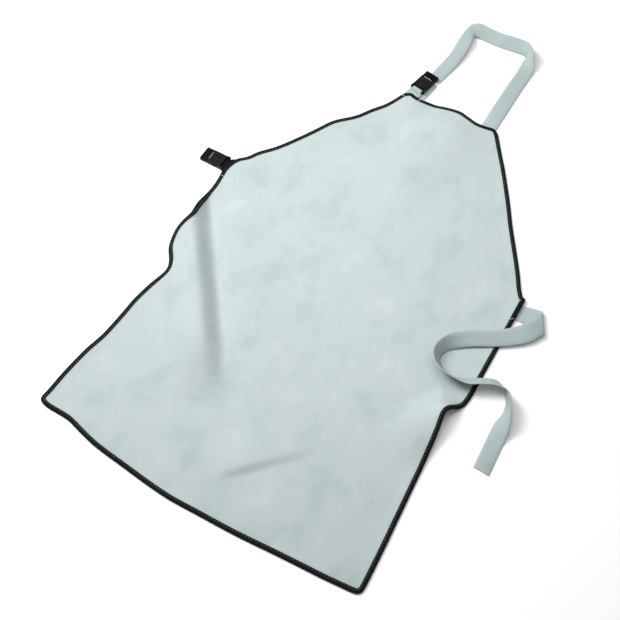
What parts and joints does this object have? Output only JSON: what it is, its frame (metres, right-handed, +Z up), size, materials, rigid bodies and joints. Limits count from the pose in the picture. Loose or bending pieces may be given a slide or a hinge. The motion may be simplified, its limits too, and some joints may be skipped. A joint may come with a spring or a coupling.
{
  "type": "leather welding apron",
  "caption": "Bib apron of split leather with bound edges, a buckled neck strap and a waist strap, laid out flat.",
  "frame": {"origin": "middle of the laid-out apron's box, on the surface that it lies on", "axes": "+Y from the hem to the neck, +Z up out of the leather's outer face, +X to the viewer's right"},
  "size_m": [0.739, 1.1448, 0.0374],
  "materials": {
    "hide": "matt split leather, pale blue-grey",
    "strap_leather": "matt split leather, a little darker",
    "edge_tape": "matt black woven tape",
    "buckle_plastic": "moulded black plastic, satin"
  },
  "bodies": {
    "root": {"apron_body": "hide", "binding_hem": "edge_tape", "binding_right_side": "edge_tape", "binding_right_waist": "edge_tape", "binding_right_armhole": "edge_tape", "binding_right_bib": "edge_tape", "binding_neck": "edge_tape", "binding_left_bib": "edge_tape", "binding_left_armhole": "edge_tape", "binding_left_waist": "edge_tape", "binding_left_side": "edge_tape", "neck_strap": "strap_leather", "waist_strap": "strap_leather", "neck_tab": "strap_leather", "waist_tab": "edge_tape", "neck_buckle_socket": "buckle_plastic", "neck_buckle_plug": "buckle_plastic", "waist_buckle_socket": "buckle_plastic", "waist_buckle_plug": "buckle_plastic"}
  },
  "joints": []
}
